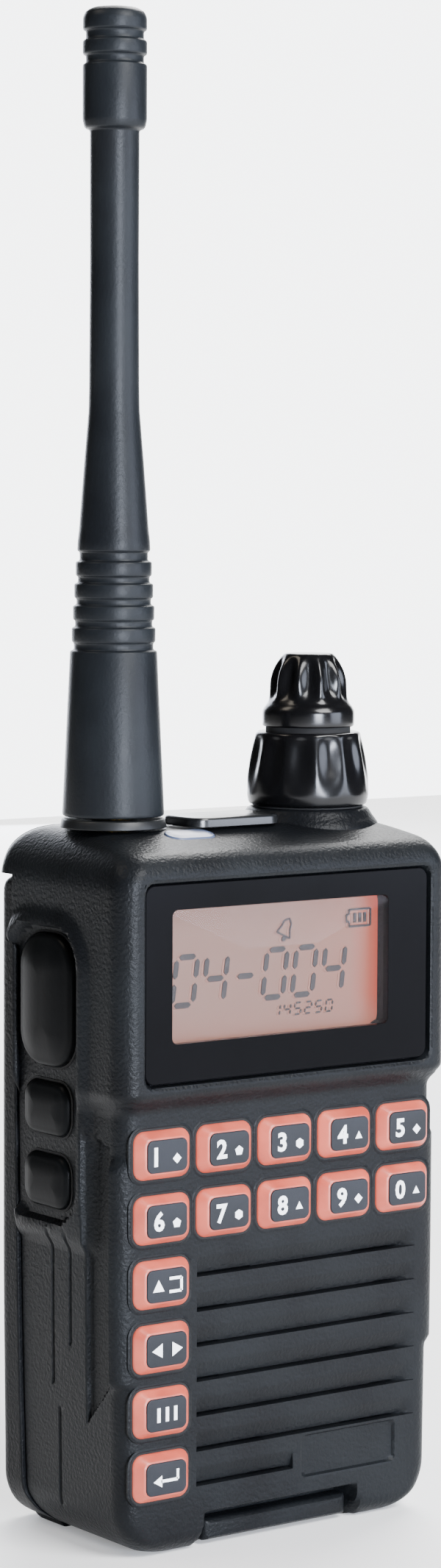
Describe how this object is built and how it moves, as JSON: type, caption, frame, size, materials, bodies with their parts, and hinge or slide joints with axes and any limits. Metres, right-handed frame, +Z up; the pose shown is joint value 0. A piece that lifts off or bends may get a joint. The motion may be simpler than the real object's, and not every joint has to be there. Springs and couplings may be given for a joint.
{
  "type": "handheld two-way radio",
  "caption": "Handheld two-way radio with keypad, backlit display, whip antenna, stacked control knobs, side buttons and a swing-out battery.",
  "frame": {"origin": "middle of the foot, half way between the front of the display housing and the battery's back", "axes": "+Z up along the antenna, -Y is the front with the display and keys, +X is the radio's right as the front is faced"},
  "size_m": [0.0572, 0.032, 0.2115],
  "materials": {
    "case_black": "fine moulded grain",
    "key_salmon": "translucent, lit from behind, with a dark printed top",
    "key_rubber": "moulded",
    "lens_acrylic": "polished, printed black round the window",
    "lcd_cell": "lit from behind",
    "diffuser_white": "satin",
    "inner_black": "moulded",
    "dust_cloth": "woven",
    "speaker_steel": "pressed",
    "tin_plate": "tinned",
    "button_rubber": "satin",
    "circuit_board": "solder resist",
    "screw_steel": "plated",
    "antenna_rubber": "satin",
    "connector_brass": "turned",
    "knob_gloss": "polished",
    "lamp_clear": "frosted",
    "cell_can": "wrapped"
  },
  "bodies": {
    "radio": {"front_case": "case_black", "keypad_mat": "key_rubber", "display_lens": "lens_acrylic", "lcd_glass": "lcd_cell", "light_guide": "diffuser_white", "lcd_frame": "inner_black", "speaker_cloth": "dust_cloth", "speaker": "speaker_steel", "microphone": "tin_plate", "side_switch_board": "circuit_board", "rear_chassis": "tin_plate", "case_screw_1": "screw_steel", "case_screw_2": "screw_steel", "case_screw_3": "screw_steel", "case_screw_4": "screw_steel", "main_board": "circuit_board", "radio_shield": "tin_plate", "antenna_collar": "antenna_rubber", "antenna_socket": "connector_brass", "control_bush": "connector_brass", "control_unit": "tin_plate", "speaker_jack": "inner_black", "microphone_jack": "inner_black", "lamp_lens": "lamp_clear", "contact_spring_plus": "connector_brass", "contact_spring_minus": "connector_brass"},
    "push_to_talk": {"ptt_button": "button_rubber"},
    "side_upper": {"side_button_upper": "button_rubber"},
    "side_lower": {"side_button_lower": "button_rubber"},
    "channel_dial": {"channel_knob": "knob_gloss", "channel_shaft": "connector_brass"},
    "volume_dial": {"volume_knob": "knob_gloss", "volume_shaft": "screw_steel"},
    "antenna": {"antenna_whip": "antenna_rubber", "antenna_ferrule": "connector_brass"},
    "jack_flap": {"jack_cover": "button_rubber"},
    "battery": {"battery_case": "case_black", "battery_cover": "case_black", "battery_cell_left": "cell_can", "battery_cell_right": "cell_can", "battery_contact_plus": "connector_brass", "battery_contact_minus": "connector_brass"},
    "latch": {"battery_latch": "case_black"},
    "key_1_cap": {"key_1": "key_salmon"},
    "key_2_cap": {"key_2": "key_salmon"},
    "key_3_cap": {"key_3": "key_salmon"},
    "key_4_cap": {"key_4": "key_salmon"},
    "key_5_cap": {"key_5": "key_salmon"},
    "key_6_cap": {"key_6": "key_salmon"},
    "key_7_cap": {"key_7": "key_salmon"},
    "key_8_cap": {"key_8": "key_salmon"},
    "key_9_cap": {"key_9": "key_salmon"},
    "key_0_cap": {"key_0": "key_salmon"},
    "key_function_cap": {"key_function": "key_salmon"},
    "key_mode_cap": {"key_mode": "key_salmon"},
    "key_memory_cap": {"key_memory": "key_salmon"},
    "key_enter_cap": {"key_enter": "key_salmon"}
  },
  "joints": [
    {"name": "ptt_press", "type": "slide", "parent": "radio", "child": "push_to_talk", "axis": [1, 0, 0], "range_m": [0, 0.0008], "stiffness_N_per_m": 2500},
    {"name": "side_upper_press", "type": "slide", "parent": "radio", "child": "side_upper", "axis": [1, 0, 0], "range_m": [0, 0.0008], "stiffness_N_per_m": 2500},
    {"name": "side_lower_press", "type": "slide", "parent": "radio", "child": "side_lower", "axis": [1, 0, 0], "range_m": [0, 0.0008], "stiffness_N_per_m": 2500},
    {"name": "channel_turn", "type": "hinge", "parent": "radio", "child": "channel_dial", "pos_m": [0.0161, 0.0017, 0.106], "axis": [0, 0, 1], "continuous": true},
    {"name": "volume_turn", "type": "hinge", "parent": "radio", "child": "volume_dial", "pos_m": [0.0161, 0.0017, 0.117], "axis": [0, 0, 1], "range_deg": [-150, 150]},
    {"name": "antenna_unscrew", "type": "hinge", "parent": "radio", "child": "antenna", "pos_m": [-0.018, 0.0017, 0.15], "axis": [0, 0, 1], "range_deg": [0, 1440]},
    {"name": "jack_flap_lift", "type": "hinge", "parent": "radio", "child": "jack_flap", "pos_m": [-0.00175, 0.003, 0.0994], "axis": [-1, 0, 0], "range_deg": [0, 100], "stiffness_Nm_per_rad": 0.0004},
    {"name": "battery_swing", "type": "hinge", "parent": "radio", "child": "battery", "pos_m": [0, 0.016, 0.092], "axis": [1, 0, 0], "range_deg": [0, 25]},
    {"name": "latch_slide", "type": "slide", "parent": "radio", "child": "latch", "axis": [0, -1, 0], "range_m": [0, 0.0025], "stiffness_N_per_m": 900},
    {"name": "key_1_press", "type": "slide", "parent": "radio", "child": "key_1_cap", "axis": [0, 1, 0], "range_m": [0, 0.0008], "stiffness_N_per_m": 1500},
    {"name": "key_2_press", "type": "slide", "parent": "radio", "child": "key_2_cap", "axis": [0, 1, 0], "range_m": [0, 0.0008], "stiffness_N_per_m": 1500},
    {"name": "key_3_press", "type": "slide", "parent": "radio", "child": "key_3_cap", "axis": [0, 1, 0], "range_m": [0, 0.0008], "stiffness_N_per_m": 1500},
    {"name": "key_4_press", "type": "slide", "parent": "radio", "child": "key_4_cap", "axis": [0, 1, 0], "range_m": [0, 0.0008], "stiffness_N_per_m": 1500},
    {"name": "key_5_press", "type": "slide", "parent": "radio", "child": "key_5_cap", "axis": [0, 1, 0], "range_m": [0, 0.0008], "stiffness_N_per_m": 1500},
    {"name": "key_6_press", "type": "slide", "parent": "radio", "child": "key_6_cap", "axis": [0, 1, 0], "range_m": [0, 0.0008], "stiffness_N_per_m": 1500},
    {"name": "key_7_press", "type": "slide", "parent": "radio", "child": "key_7_cap", "axis": [0, 1, 0], "range_m": [0, 0.0008], "stiffness_N_per_m": 1500},
    {"name": "key_8_press", "type": "slide", "parent": "radio", "child": "key_8_cap", "axis": [0, 1, 0], "range_m": [0, 0.0008], "stiffness_N_per_m": 1500},
    {"name": "key_9_press", "type": "slide", "parent": "radio", "child": "key_9_cap", "axis": [0, 1, 0], "range_m": [0, 0.0008], "stiffness_N_per_m": 1500},
    {"name": "key_0_press", "type": "slide", "parent": "radio", "child": "key_0_cap", "axis": [0, 1, 0], "range_m": [0, 0.0008], "stiffness_N_per_m": 1500},
    {"name": "key_function_press", "type": "slide", "parent": "radio", "child": "key_function_cap", "axis": [0, 1, 0], "range_m": [0, 0.0008], "stiffness_N_per_m": 1500},
    {"name": "key_mode_press", "type": "slide", "parent": "radio", "child": "key_mode_cap", "axis": [0, 1, 0], "range_m": [0, 0.0008], "stiffness_N_per_m": 1500},
    {"name": "key_memory_press", "type": "slide", "parent": "radio", "child": "key_memory_cap", "axis": [0, 1, 0], "range_m": [0, 0.0008], "stiffness_N_per_m": 1500},
    {"name": "key_enter_press", "type": "slide", "parent": "radio", "child": "key_enter_cap", "axis": [0, 1, 0], "range_m": [0, 0.0008], "stiffness_N_per_m": 1500}
  ]
}
